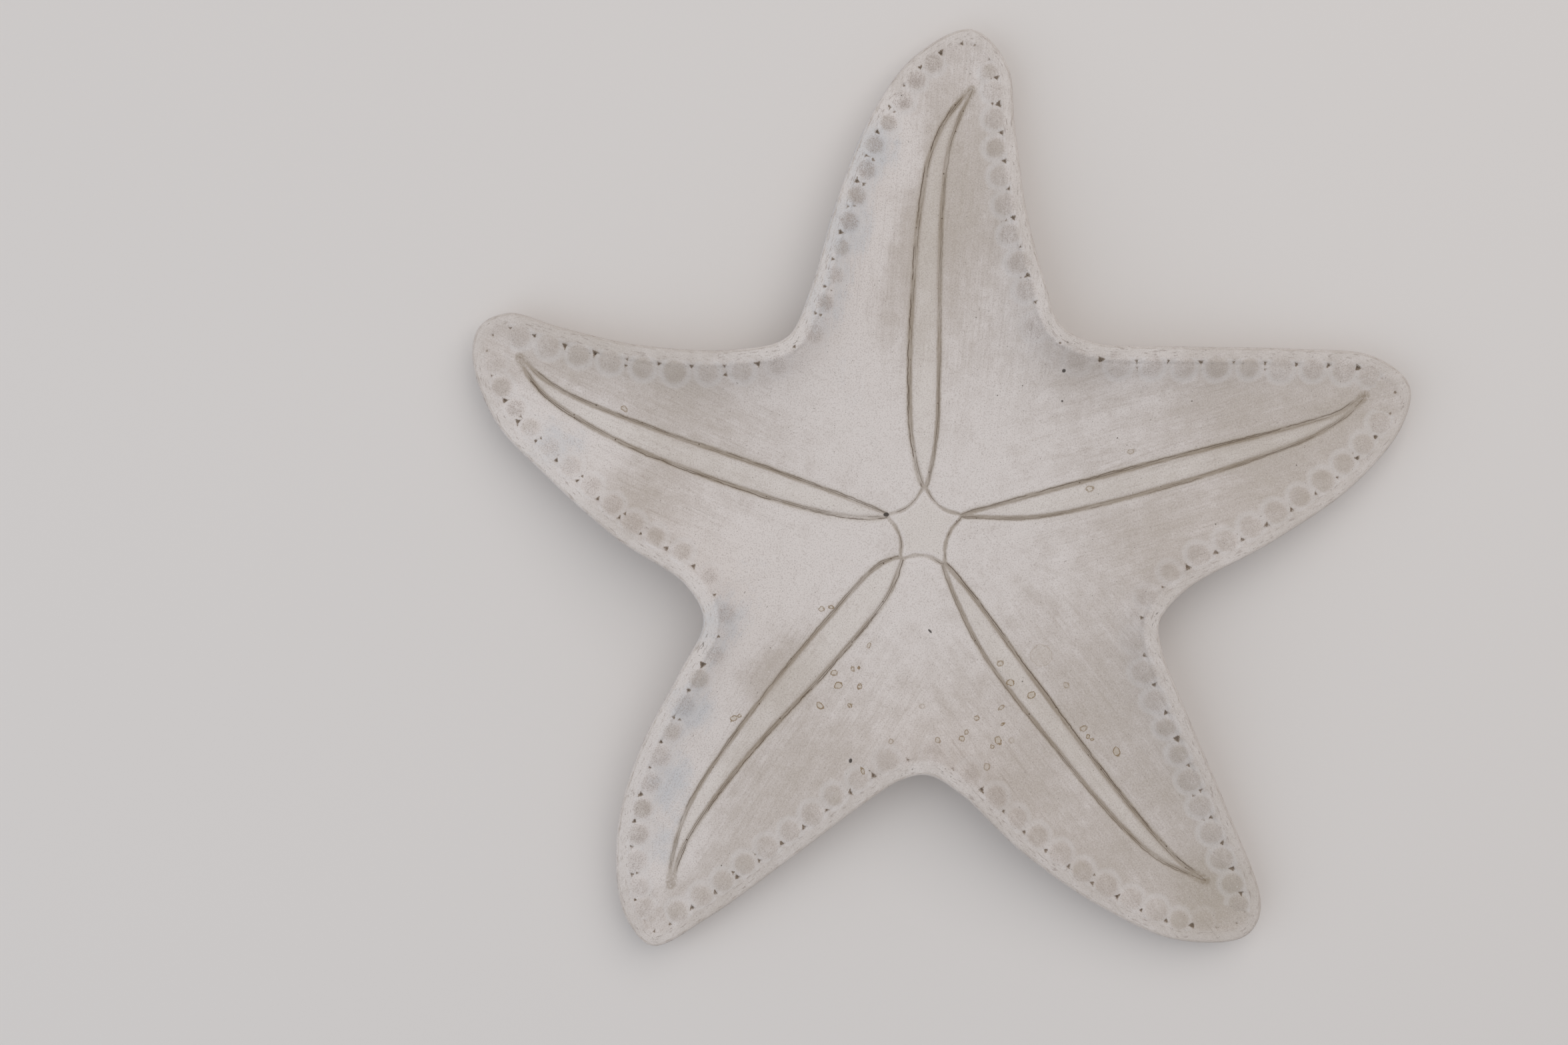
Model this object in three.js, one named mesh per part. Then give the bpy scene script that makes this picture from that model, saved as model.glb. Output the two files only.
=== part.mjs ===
// A shallow starfish-shaped dish, cast in one piece: five curved arms with rounded tips, a rounded
// rim that stands highest between the arms and lowest at the tips, a smooth hollow inside, and outer
// walls that draw in to a flat foot. Millimetres, +Z up, the foot on z = 0.
import * as THREE from 'three';
import { mergeVertices } from 'three/addons/utils/BufferGeometryUtils.js';

// Driving dimensions.
const RIM_HEIGHT_AT_NOTCH = 26;
const RIM_HEIGHT_AT_TIP = 13;
const RIM_WIDTH = 4.6;
const RIM_ROUNDING = 1.6;
const INNER_LIP_DROP = 1.0;
const INNER_LIP_INSET = 6;
const FLOOR_HEIGHT = 4.5;
const HOLLOW_REACH = 24;
const FOOT_INSET_AT_NOTCH = 24;
const FOOT_INSET_AT_TIP = 4.8;
const FOOT_EDGE_HEIGHT = 1.2;
const WALL_BULGE = 0.42;
const LIP_THICKNESS = 5;

// The mesh: steps along one side of an arm, how much closer they sit at its two ends, and the
// spacing of the rim stations that the hollow hangs from.
const STEPS_PER_SIDE = 16;
const END_CROWDING = 0.55;
const STATION_SPACING = 1.2;

// The middle of the hollow, where the five arms meet.
const CENTRE = new THREE.Vector2(-6.3, -14.6);

// The outline, counter-clockwise. Each arm starts at the notch on its clockwise side.
const ARMS = [
  {
    notch: [42.4, 59.0],
    firstSide: [[36.9, 75.2], [30.9, 100], [27.2, 132], [24.4, 155.6]],
    tip: [11.6, 168.2],
    secondSide: [[-9.2, 158.2], [-25.6, 135.4], [-38.4, 103.2], [-48, 70.6]],
  },
  {
    notch: [-56, 54.4],
    firstSide: [[-74, 50], [-109, 51.8], [-139.2, 58.9], [-158, 64.2]],
    tip: [-168.6, 59.4],
    secondSide: [[-171.3, 48], [-162.7, 24.5], [-144.6, 5.2], [-117, -19], [-92.6, -35.2]],
  },
  {
    notch: [-86.2, -48.2],
    firstSide: [[-94.6, -66.2], [-109, -93.8], [-117.4, -121], [-118, -146], [-114.4, -158.6]],
    tip: [-105.4, -167.8],
    secondSide: [[-84.4, -157], [-56, -135.8], [-27, -113.4], [-14.8, -105.6]],
  },
  {
    notch: [-5.4, -103.8],
    firstSide: [[6.4, -110.5], [28.6, -131.6], [57.4, -152.2], [85.6, -165.2]],
    tip: [109.2, -165.4],
    secondSide: [[115.2, -161], [117.5, -151.4], [103.2, -114.4], [89, -82.6], [79.2, -58.2]],
  },
  {
    notch: [78.4, -48.6],
    firstSide: [[87.8, -37.2], [119.4, -20], [151, 1.2], [169.2, 22.6]],
    tip: [172.1, 37.6],
    secondSide: [[159, 48.2], [129, 50.8], [84, 51.2], [54, 52.6]],
  },
];

const SIDES = 2 * ARMS.length;
const STATIONS = SIDES * STEPS_PER_SIDE;
const SAMPLES_PER_SPAN = 60;

// The outline curve, and how far round it each notch and tip lies as a share of its length.
function makeOutline() {
  const points = [];
  const corners = [];
  for (const arm of ARMS) {
    corners.push(points.length);
    points.push(arm.notch, ...arm.firstSide);
    corners.push(points.length);
    points.push(arm.tip, ...arm.secondSide);
  }
  const curve = new THREE.CatmullRomCurve3(
    points.map(([x, y]) => new THREE.Vector3(x, y, 0)), true, 'centripetal');
  curve.arcLengthDivisions = points.length * SAMPLES_PER_SPAN;
  const lengths = curve.getLengths();
  const total = lengths[lengths.length - 1];
  const shares = corners.map((corner) => lengths[corner * SAMPLES_PER_SPAN] / total);
  shares.push(1);
  return { curve, shares, total };
}

const outline = makeOutline();

// A station is a place on the outline: its point, its inward direction, and how far along its side
// of the arm it lies, from 0 at the notch to 1 at the tip.
function stationAt(side, along) {
  const share = THREE.MathUtils.lerp(outline.shares[side], outline.shares[side + 1], along);
  const point = outline.curve.getPointAt(share % 1);
  const tangent = outline.curve.getTangentAt(share % 1);
  return {
    point: new THREE.Vector2(point.x, point.y),
    inward: new THREE.Vector2(-tangent.y, tangent.x).normalize(),
    towardTip: side % 2 === 0 ? along : 1 - along,
  };
}

function eased(value) {
  return 0.5 - 0.5 * Math.cos(Math.PI * value);
}

function rimHeight(station) {
  return THREE.MathUtils.lerp(RIM_HEIGHT_AT_NOTCH, RIM_HEIGHT_AT_TIP, eased(station.towardTip));
}

function footInset(station) {
  return THREE.MathUtils.lerp(FOOT_INSET_AT_NOTCH, FOOT_INSET_AT_TIP, eased(station.towardTip));
}

function insetPoint(station, inset) {
  return station.point.clone().addScaledVector(station.inward, inset);
}

// Stations for the mesh, closer together where the outline turns, at the notches and the tips.
function meshStations() {
  const stations = [];
  for (let side = 0; side < SIDES; side += 1) {
    for (let step = 0; step < STEPS_PER_SIDE; step += 1) {
      const share = step / STEPS_PER_SIDE;
      const crowded = share - END_CROWDING * Math.sin(2 * Math.PI * share) / (2 * Math.PI);
      stations.push(stationAt(side, crowded));
    }
  }
  return stations;
}

const stations = meshStations();

// The section of the rim and outer wall at a station, from the inner lip over the rim and down the
// wall to the foot, as pairs of inset and height.
function wallSection(station) {
  const rim = rimHeight(station);
  const foot = footInset(station);
  const wallTop = rim - LIP_THICKNESS;
  const wallAt = (share) => [
    foot + (RIM_ROUNDING - foot) * Math.pow(share, 1 - WALL_BULGE),
    FOOT_EDGE_HEIGHT + (wallTop - FOOT_EDGE_HEIGHT) * share,
  ];
  return [
    [INNER_LIP_INSET, rim - INNER_LIP_DROP],
    [RIM_WIDTH, rim],
    [RIM_ROUNDING, rim],
    [0.3 * RIM_ROUNDING, rim - 0.3 * RIM_ROUNDING],
    [0, rim - RIM_ROUNDING],
    [0.3 * RIM_ROUNDING, rim - 0.65 * LIP_THICKNESS],
    wallAt(1),
    wallAt(0.66),
    wallAt(0.33),
    wallAt(0),
    [foot + FOOT_EDGE_HEIGHT, 0],
  ];
}

// The hollow hangs from the inner lip: every point of the lip lifts it in proportion to one over
// the square of the distance, against a steady pull down to the floor.
function lipStations() {
  const found = [];
  for (let side = 0; side < SIDES; side += 1) {
    const length = (outline.shares[side + 1] - outline.shares[side]) * outline.total;
    const count = Math.round(length / STATION_SPACING);
    for (let step = 0; step < count; step += 1) {
      const station = stationAt(side, (step + 0.5) / count);
      found.push({
        point: insetPoint(station, INNER_LIP_INSET),
        height: rimHeight(station) - INNER_LIP_DROP,
        length: length / count,
      });
    }
  }
  return found;
}

const lip = lipStations();

function hollowHeight(point) {
  let lift = 0;
  let weights = Math.PI / HOLLOW_REACH;
  for (const station of lip) {
    const weight = station.length / (station.point.distanceToSquared(point) + 1);
    weights += weight;
    lift += weight * (station.height - FLOOR_HEIGHT);
  }
  return FLOOR_HEIGHT + lift / weights;
}

// One quarter-like patch of the hollow for each arm, stretched between the middle, the notch on
// each side and the tip. Its two outer edges run along the inner lip.
function makeHollowPatch(arm) {
  const steps = STEPS_PER_SIDE;
  const lipPoint = (station) => insetPoint(stations[station % STATIONS], INNER_LIP_INSET);
  const first = 2 * arm * steps;
  const firstNotch = lipPoint(first);
  const tip = lipPoint(first + steps);
  const secondNotch = lipPoint(first + 2 * steps);
  const geometry = new THREE.PlaneGeometry(1, 1, steps, steps);
  const position = geometry.getAttribute('position');
  for (let index = 0; index < position.count; index += 1) {
    const column = index % (steps + 1);
    const row = steps - Math.floor(index / (steps + 1));
    const u = column / steps;
    const v = row / steps;
    const low = CENTRE.clone().lerp(firstNotch, u);
    const high = lipPoint(first + 2 * steps - column);
    const left = CENTRE.clone().lerp(secondNotch, v);
    const right = lipPoint(first + row);
    const corners = CENTRE.clone().multiplyScalar((1 - u) * (1 - v))
      .addScaledVector(firstNotch, u * (1 - v))
      .addScaledVector(secondNotch, (1 - u) * v)
      .addScaledVector(tip, u * v);
    const point = low.multiplyScalar(1 - v).addScaledVector(high, v)
      .addScaledVector(left, 1 - u).addScaledVector(right, u).sub(corners);
    let height = hollowHeight(point);
    if (column === steps) {
      height = rimHeight(stations[(first + row) % STATIONS]) - INNER_LIP_DROP;
    } else if (row === steps) {
      height = rimHeight(stations[(first + 2 * steps - column) % STATIONS]) - INNER_LIP_DROP;
    }
    position.setXYZ(index, point.x, point.y, height);
  }
  return geometry;
}

// The rim and the outer wall, one band all the way round.
function makeWallBand() {
  const rows = wallSection(stations[0]).length - 1;
  const geometry = new THREE.PlaneGeometry(1, 1, STATIONS, rows);
  const position = geometry.getAttribute('position');
  for (let index = 0; index < position.count; index += 1) {
    const station = stations[(index % (STATIONS + 1)) % STATIONS];
    const row = Math.floor(index / (STATIONS + 1));
    const [inset, height] = wallSection(station)[row];
    const point = insetPoint(station, inset);
    position.setXYZ(index, point.x, point.y, height);
  }
  return geometry;
}

// The flat foot, facing down.
function makeFoot() {
  const points = stations.map((station) => insetPoint(station, footInset(station) + FOOT_EDGE_HEIGHT));
  const geometry = new THREE.ShapeGeometry(new THREE.Shape(points));
  const index = geometry.getIndex();
  for (let corner = 0; corner < index.count; corner += 3) {
    const second = index.getX(corner + 1);
    index.setX(corner + 1, index.getX(corner + 2));
    index.setX(corner + 2, second);
  }
  return geometry;
}

// The surfaces share their edge points, so merging them closes the body. It is then centred on z = 0.
function joinSurfaces(surfaces) {
  const positions = [];
  const indices = [];
  for (const surface of surfaces) {
    const start = positions.length / 3;
    positions.push(...surface.getAttribute('position').array);
    for (const corner of surface.getIndex().array) {
      indices.push(start + corner);
    }
  }
  const geometry = new THREE.BufferGeometry();
  geometry.setAttribute('position', new THREE.Float32BufferAttribute(positions, 3));
  geometry.setIndex(indices);
  const merged = mergeVertices(geometry, 1e-3);
  merged.computeBoundingBox();
  const middle = merged.boundingBox.getCenter(new THREE.Vector3());
  merged.translate(-middle.x, -middle.y, 0);
  merged.computeVertexNormals();
  return merged;
}

// Matt whitewashed casting.
const whitewash = new THREE.MeshStandardMaterial({ color: '#c9c4bd', roughness: 0.85, metalness: 0 });

const dish = new THREE.Mesh(
  joinSurfaces([...ARMS.map((_, arm) => makeHollowPatch(arm)), makeWallBand(), makeFoot()]),
  whitewash,
);
dish.name = 'starfish_dish';

const starfish = new THREE.Group();
starfish.add(dish);

export default starfish;
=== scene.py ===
"""Dresses a shallow starfish-shaped dish: one whitewashed stoneware casting with a beaded border.

The hollow is five patches stretched between the middle, the notches and the tips. They are refined
where the relief is fine, lifted into the bowl, and closed by a rounded rim, outer walls and a foot.
Lengths are in millimetres until the finished mesh is scaled to metres.
"""

import logging
import math
from dataclasses import dataclass, field
from enum import Enum

import bmesh
import bpy
import numpy as np
from mathutils import Matrix, Vector
from mathutils.kdtree import KDTree


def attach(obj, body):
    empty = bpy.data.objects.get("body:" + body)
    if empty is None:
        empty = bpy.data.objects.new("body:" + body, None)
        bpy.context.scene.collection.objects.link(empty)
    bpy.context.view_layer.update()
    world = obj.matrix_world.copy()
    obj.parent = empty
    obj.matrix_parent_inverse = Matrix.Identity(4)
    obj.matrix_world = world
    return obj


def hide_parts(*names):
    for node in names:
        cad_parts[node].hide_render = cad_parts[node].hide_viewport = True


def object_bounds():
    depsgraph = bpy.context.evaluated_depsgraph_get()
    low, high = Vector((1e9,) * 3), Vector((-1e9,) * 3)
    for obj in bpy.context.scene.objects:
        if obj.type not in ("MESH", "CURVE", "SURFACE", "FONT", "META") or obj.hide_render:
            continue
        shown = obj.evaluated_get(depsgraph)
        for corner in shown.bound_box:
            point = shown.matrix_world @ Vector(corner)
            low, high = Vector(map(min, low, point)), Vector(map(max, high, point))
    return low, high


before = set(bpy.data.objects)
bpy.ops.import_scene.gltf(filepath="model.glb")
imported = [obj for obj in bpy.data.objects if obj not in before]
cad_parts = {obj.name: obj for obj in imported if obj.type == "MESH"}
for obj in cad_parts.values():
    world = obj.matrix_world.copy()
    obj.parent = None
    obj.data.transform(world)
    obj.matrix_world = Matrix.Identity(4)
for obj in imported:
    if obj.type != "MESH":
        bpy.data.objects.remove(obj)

CAD_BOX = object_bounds()
LOG = logging.getLogger("starfish_dish")
METRES_PER_MM = 0.001
NODE = "starfish_dish"
SEED = 11
OUTLINE_STEP = 0.4
LINE_STEP = 0.15

Point = tuple[float, float]


@dataclass(frozen=True)
class BorderRow:
    """The pits and beads along one side of an arm.

    Attributes:
        first: how far the first pit is from the notch, along the edge.
        pitch: from one pit to the next.
        count: how many pits there are.
        inset: how far inside the edge they lie.
        worn: how far the beads' tops are worn back, from 0 to 1.
    """

    first: float
    pitch: float
    count: int
    inset: float
    worn: float


@dataclass(frozen=True)
class Arm:
    """One arm: its outline, its petal from the middle to the tip and back, and its border.

    The dirt is how stained the petal's line is on its way out and on its way back.
    """

    notch: Point
    first_side: tuple[Point, ...]
    tip: Point
    second_side: tuple[Point, ...]
    petal: tuple[Point, ...]
    dirt: tuple[float, float]
    first_row: BorderRow
    second_row: BorderRow

    @property
    def petal_tip(self) -> Point:
        """The petal's far end."""
        return max(self.petal, key=lambda point: math.dist(point, CENTRE))


# Counter-clockwise: the upper, left, lower left, lower right and right arms.
ARMS = (
    Arm(
        notch=(42.4, 59.0),
        first_side=((36.9, 75.2), (30.9, 100), (27.2, 132), (24.4, 155.6)),
        tip=(11.6, 168.2),
        second_side=((-9.2, 158.2), (-25.6, 135.4), (-38.4, 103.2), (-48, 70.6)),
        petal=((-5.6, 0.4), (-1.4, 18), (-0.4, 40), (0, 84), (1, 106), (2.8, 122), (6.6, 134.2),
               (11.7, 146), (2.4, 135.4), (-3.6, 122), (-6.8, 106), (-9.2, 84), (-11.2, 40), (-10, 16)),
        dirt=(0.7, 1.0),
        first_row=BorderRow(9.8, 10.5, 9, 5.0, 0.4),
        second_row=BorderRow(11.6, 10.2, 12, 4.3, 0.85),
    ),
    Arm(
        notch=(-56, 54.4),
        first_side=((-74, 50), (-109, 51.8), (-139.2, 58.9), (-158, 64.2)),
        tip=(-168.6, 59.4),
        second_side=((-171.3, 48), (-162.7, 24.5), (-144.6, 5.2), (-117, -19), (-92.6, -35.2)),
        petal=((-19, -10.1), (-29, -5.4), (-65, 8), (-101, 20.4), (-135, 34), (-146, 40.8),
               (-154, 48), (-149.5, 39.6), (-141.6, 31.6), (-117, 17), (-83, 3.4), (-47, -7.8), (-29, -10.8)),
        dirt=(0.8, 0.9),
        first_row=BorderRow(12.0, 11.5, 8, 5.6, 0.3),
        second_row=BorderRow(17.2, 10.6, 10, 6.3, 0.55),
    ),
    Arm(
        notch=(-86.2, -48.2),
        first_side=((-94.6, -66.2), (-109, -93.8), (-117.4, -121), (-118, -146), (-114.4, -158.6)),
        tip=(-105.4, -167.8),
        second_side=((-84.4, -157), (-56, -135.8), (-27, -113.4), (-14.8, -105.6)),
        petal=((-14, -25.6), (-22, -28), (-42.4, -49.4), (-65, -76.6), (-87.4, -108), (-94.3, -122),
               (-98.3, -137.4), (-98.6, -145.4), (-95.4, -135.2), (-89.7, -124), (-69.5, -97), (-40.2, -65.4),
               (-19.8, -40.5), (-15.2, -30.4)),
        dirt=(0.75, 0.9),
        first_row=BorderRow(14.0, 10.8, 9, 5.5, 0.6),
        second_row=BorderRow(17.2, 10.3, 9, 6.0, 0.3),
    ),
    Arm(
        notch=(-5.4, -103.8),
        first_side=((6.4, -110.5), (28.6, -131.6), (57.4, -152.2), (85.6, -165.2)),
        tip=(109.2, -165.4),
        second_side=((115.2, -161), (117.5, -151.4), (103.2, -114.4), (89, -82.6), (79.2, -58.2)),
        petal=((1.5, -27.6), (4, -36), (16.2, -61), (41, -93.6), (65.8, -123), (79.3, -135.2), (90.6, -141),
               (97.4, -143.8), (86.2, -135.2), (61.3, -106), (34.3, -69.8), (9.4, -36)),
        dirt=(0.75, 0.95),
        first_row=BorderRow(18.5, 10.9, 10, 5.7, 0.3),
        second_row=BorderRow(10.4, 10.6, 10, 6.4, 0.3),
    ),
    Arm(
        notch=(78.4, -48.6),
        first_side=((87.8, -37.2), (119.4, -20), (151, 1.2), (169.2, 22.6)),
        tip=(172.1, 37.6),
        second_side=((159, 48.2), (129, 50.8), (84, 51.2), (54, 52.6)),
        petal=((7.9, -10.1), (14, -10.6), (36.5, -10.4), (75, -1.7), (120, 12.4), (138, 19.7), (149.4, 27.1),
               (155.8, 34.2), (147, 28.3), (131.2, 23.1), (86, 11.4), (41, -0.6), (23, -5.6)),
        dirt=(0.75, 0.85),
        first_row=BorderRow(20.0, 11.0, 9, 6.0, 0.35),
        second_row=BorderRow(17.6, 12.0, 9, 5.2, 0.35),
    ),
)

CENTRE = np.array((-6.3, -14.6))


@dataclass(frozen=True)
class Droplet:
    """A dried droplet: its middle, radius, how much longer than wide, its turn and how dark it dried."""

    x: float
    y: float
    radius: float
    stretch: float = 1.0
    turn: float = 0.0
    stain: float = 0.7


DROPLETS = (
    Droplet(-39, -67.6, 1.1, 1.2, 0.4), Droplet(-31.9, -66.1, 0.8, 1.3, 2.0),
    Droplet(-29.9, -65.8, 0.55, stain=1),
    Droplet(-37.3, -72.2, 1.25, 1.25, 0.3, 1), Droplet(-29.4, -72.5, 0.9, 1.3, 1.6, 0.9),
    Droplet(-43.9, -79.6, 1.1, 1.4, 2.3, 0.8), Droplet(-32.9, -79.5, 0.8, stain=0.8),
    Droplet(-25.9, -57.6, 0.8, 1.9, 1.2), Droplet(-43.3, -44.3, 0.9), Droplet(-39.7, -43.6, 0.7, 1.3),
    Droplet(-75.5, -84.2, 1.1, 1.3, 0.6, 0.8), Droplet(-73.4, -83.2, 0.7),
    Droplet(22, -64.2, 1.1, 1.2, 0.5, 0.6),
    Droplet(25.8, -71.2, 1.2, 1.3, 0.2, 0.9), Droplet(22.2, -80.3, 0.9, 1.9, 0.7, 0.6),
    Droplet(13.3, -84.1, 0.9), Droplet(23, -86.1, 0.6, 1.6, 0.8, 1), Droplet(9.3, -88.9, 0.7),
    Droplet(7.7, -91.2, 0.9), Droplet(21, -92.2, 1.25, 1.35, 1.9, 1), Droplet(25.9, -92.2, 1.1, stain=0.35),
    Droplet(18.7, -94.1, 0.7), Droplet(-1.3, -91.7, 0.9, stain=0.6),
    Droplet(-6.7, -79.6, 0.9, 1.3, stain=0.4),
    Droplet(-18.2, -92.2, 0.7, stain=0.5), Droplet(16.6, -101.3, 1.15, stain=0.5),
    Droplet(-28.6, -102.4, 0.8, 1.9, 2.0, 1), Droplet(46.2, -72.1, 1, 1.4, 1.9, 0.5),
    Droplet(33.4, -75.7, 1.3, 1.2, 0.7, 1), Droplet(52.3, -87.8, 1.1, 1.4, 0.6, 0.6),
    Droplet(54, -90.8, 0.65, 1.3, 0.8, 1), Droplet(55.4, -92, 0.5, 1.2),
    Droplet(64.4, -96.3, 1.35, 1.4, 2.0, 1),
    Droplet(54.9, -0.2, 1.2, 1.3, 0.2, 0.6), Droplet(69.7, 13.3, 1.0, 1.3, stain=0.5),
    Droplet(-115.4, 28.8, 1.0, 1.4, 2.4, 0.6), Droplet(37, -61.2, 3.9, stain=0.3),
)

GRIT = (
    Droplet(44.5, 42.5, 0.55, stain=1), Droplet(44.4, 31.7, 0.3, stain=1),
    Droplet(-19.6, -9.7, 0.8, 1.5, stain=1),
    Droplet(-32.9, -99.2, 0.6, 1.4, 1.3, 1), Droplet(-3.6, -52.4, 0.5, 2.4, 2.3, 1),
)


def eased(value: np.ndarray) -> np.ndarray:
    """A smooth 0 to 1 curve over 0 to 1."""
    return 0.5 - 0.5 * np.cos(np.pi * np.clip(value, 0.0, 1.0))


def ramp(value: np.ndarray, start: float, end: float) -> np.ndarray:
    """Rises smoothly from 0 where value is start to 1 where it is end."""
    return eased((value - start) / (end - start))


def bell(value: np.ndarray, width: float) -> np.ndarray:
    """A bell curve, 1 at 0 and a third at width."""
    return np.exp(-np.square(value / width))


def tree_of(points: np.ndarray) -> KDTree:
    """A search tree that finds the nearest of some points, one row each."""
    tree = KDTree(len(points))
    for index, (x, y) in enumerate(points):
        tree.insert((x, y, 0.0), index)
    tree.balance()
    return tree


class Loop:
    """A closed smooth curve through a few points, sampled at even steps, counter-clockwise."""

    def __init__(self, corners: list[Point], step: float) -> None:
        """Samples the curve.

        Args:
            corners: the points that it passes through.
            step: the spacing of the samples, in millimetres.
        """
        fine, self.corner_at = self._trace(np.array(corners, float))
        steps = np.hypot(*(np.roll(fine, -1, 0) - fine).T)
        travelled = np.concatenate([[0.0], np.cumsum(steps)])
        self.length = travelled[-1]
        self.corner_at = travelled[self.corner_at]
        self.count = int(round(self.length / step))
        self.step = self.length / self.count
        closed = np.vstack([fine, fine[:1]])
        wanted = np.arange(self.count) * self.step
        self.points = np.column_stack([np.interp(wanted, travelled, closed[:, axis]) for axis in (0, 1)])
        tangents = np.roll(self.points, -1, 0) - np.roll(self.points, 1, 0)
        self.tangents = tangents / np.hypot(*tangents.T)[:, None]
        self.tree = tree_of(self.points)

    @staticmethod
    def _trace(corners: np.ndarray, per_span: int = 60) -> tuple[np.ndarray, np.ndarray]:
        """Centripetal Catmull-Rom spans through the corners.

        Args:
            corners: the points, one row each.
            per_span: samples from one point to the next.

        Returns:
            The samples, and the index of the sample at each corner.
        """
        share = (np.arange(per_span) / per_span)[:, None]
        spans = []
        for index in range(len(corners)):
            before, start, end, after = corners[[index - 1, index, (index + 1) % len(corners),
                                                 (index + 2) % len(corners)]]
            first, middle, last = (math.sqrt(math.dist(*pair)) for pair in
                                   ((before, start), (start, end), (end, after)))
            leave = middle * ((start - before) / first - (end - before) / (first + middle)
                              + (end - start) / middle)
            arrive = middle * ((end - start) / middle - (after - start) / (middle + last)
                               + (after - end) / last)
            spans.append(start * (2 * share**3 - 3 * share**2 + 1) + leave * (share**3 - 2 * share**2 + share)
                         + end * (3 * share**2 - 2 * share**3) + arrive * (share**3 - share**2))
        return np.vstack(spans), np.arange(len(corners)) * per_span

    def at(self, travelled: np.ndarray, inset: np.ndarray | float = 0.0) -> np.ndarray:
        """The points at these distances round the loop, moved inwards by inset."""
        place = np.mod(travelled / self.step, self.count)
        low = np.floor(place).astype(int) % self.count
        high = (low + 1) % self.count
        share = (place - np.floor(place))[:, None]
        point = self.points[low] * (1 - share) + self.points[high] * share
        tangent = self.tangents[low] * (1 - share) + self.tangents[high] * share
        tangent /= np.hypot(*tangent.T)[:, None]
        inward = np.column_stack([-tangent[:, 1], tangent[:, 0]])
        return point + inward * np.broadcast_to(inset, travelled.shape)[:, None]

    def measure(self, points: np.ndarray) -> tuple[np.ndarray, np.ndarray]:
        """Measures points against the loop.

        Args:
            points: one row each.

        Returns:
            How far round the loop each is, and how far inside it, negative outside.
        """
        nearest = np.array([self.tree.find((x, y, 0.0))[1] for x, y in points])
        offset = points - self.points[nearest]
        tangent = self.tangents[nearest]
        along = np.einsum("ij,ij->i", offset, tangent)
        inside = tangent[:, 0] * offset[:, 1] - tangent[:, 1] * offset[:, 0]
        distance = np.where(np.abs(along) > self.step, np.sign(inside) * np.hypot(*offset.T), inside)
        return nearest * self.step + along, distance


@dataclass(frozen=True)
class DishForm:
    """The casting's sizes, as the solid model has them."""

    rim_at_notch: float = 26.0
    rim_at_tip: float = 13.0
    lip_inset: float = 6.0
    lip_drop: float = 1.0
    floor: float = 4.5
    reach: float = 24.0
    foot_inset_at_notch: float = 24.0
    foot_inset_at_tip: float = 4.8
    foot_edge: float = 1.2
    wall_bulge: float = 0.42
    rim_rounding: float = 1.6
    lip_thickness: float = 5.0


class Outline(Loop):
    """The dish's outline, which knows how high the rim stands at each place round it."""

    def __init__(self, form: DishForm) -> None:
        """Traces the outline through the arms' points and works out what fits it in the solid's box."""
        corners: list[Point] = []
        marks: list[int] = []
        for arm in ARMS:
            marks.append(len(corners))
            corners += [arm.notch, *arm.first_side]
            marks.append(len(corners))
            corners += [arm.tip, *arm.second_side]
        self.form = form
        super().__init__(corners, OUTLINE_STEP)
        self.marks = np.append(self.corner_at[marks], self.length)
        box_middle = (CAD_BOX[0] + CAD_BOX[1]).xy / 2 / METRES_PER_MM
        box_size = (CAD_BOX[1] - CAD_BOX[0]).xy / METRES_PER_MM
        own_size = np.ptp(self.points, axis=0)
        self.middle = (self.points.min(0) + self.points.max(0)) / 2
        self.box_middle = np.array(box_middle)
        self.fit = float((np.array(box_size) / own_size).min())

    def placement(self) -> Matrix:
        """Takes the dish from the outline's millimetres to its place inside the solid model's box."""
        centred = Matrix.Translation((*-self.middle, 0.0))
        moved = Matrix.Translation((*self.box_middle, 0.0))
        return Matrix.Scale(METRES_PER_MM, 4) @ moved @ Matrix.Scale(self.fit, 4) @ centred

    def toward_tip(self, travelled: np.ndarray) -> np.ndarray:
        """0 at a notch and 1 at a tip, for distances round the outline."""
        travelled = np.mod(travelled, self.length)
        side = np.clip(np.searchsorted(self.marks, travelled, side="right") - 1, 0, 2 * len(ARMS) - 1)
        share = (travelled - self.marks[side]) / (self.marks[side + 1] - self.marks[side])
        return np.where(side % 2 == 0, share, 1 - share)

    def rim(self, travelled: np.ndarray) -> np.ndarray:
        """The rim's height."""
        rise = self.form.rim_at_notch - self.form.rim_at_tip
        return self.form.rim_at_notch - rise * eased(self.toward_tip(travelled))

    def foot_inset(self, travelled: np.ndarray) -> np.ndarray:
        """How far inside the outline the outer wall meets the foot."""
        drawn = self.form.foot_inset_at_notch - self.form.foot_inset_at_tip
        return self.form.foot_inset_at_notch - drawn * eased(self.toward_tip(travelled))


class Stains:
    """A few round marks on the bowl, which measures how far outside them each point is."""

    def __init__(self, marks: tuple[Droplet, ...]) -> None:
        """Lists the marks as columns: middle, radius, stretch, turn and stain."""
        self.rows = np.array([(mark.x, mark.y, mark.radius, math.sqrt(mark.stretch), mark.turn, mark.stain)
                              for mark in marks])

    def measure(self, points: np.ndarray) -> tuple[np.ndarray, np.ndarray]:
        """Measures points against the nearest mark.

        Args:
            points: one row each.

        Returns:
            How far outside its edge each is, negative inside, and how dark the mark dried.
        """
        offset = points[:, None] - self.rows[None, :, :2]
        cosine, sine = np.cos(self.rows[:, 4]), np.sin(self.rows[:, 4])
        along = (offset[..., 0] * cosine + offset[..., 1] * sine) / self.rows[:, 3]
        across = (offset[..., 1] * cosine - offset[..., 0] * sine) * self.rows[:, 3]
        distance = np.hypot(along, across) - self.rows[:, 2]
        nearest = distance.argmin(1)
        return distance[np.arange(len(points)), nearest], self.rows[nearest, 5]


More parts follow.
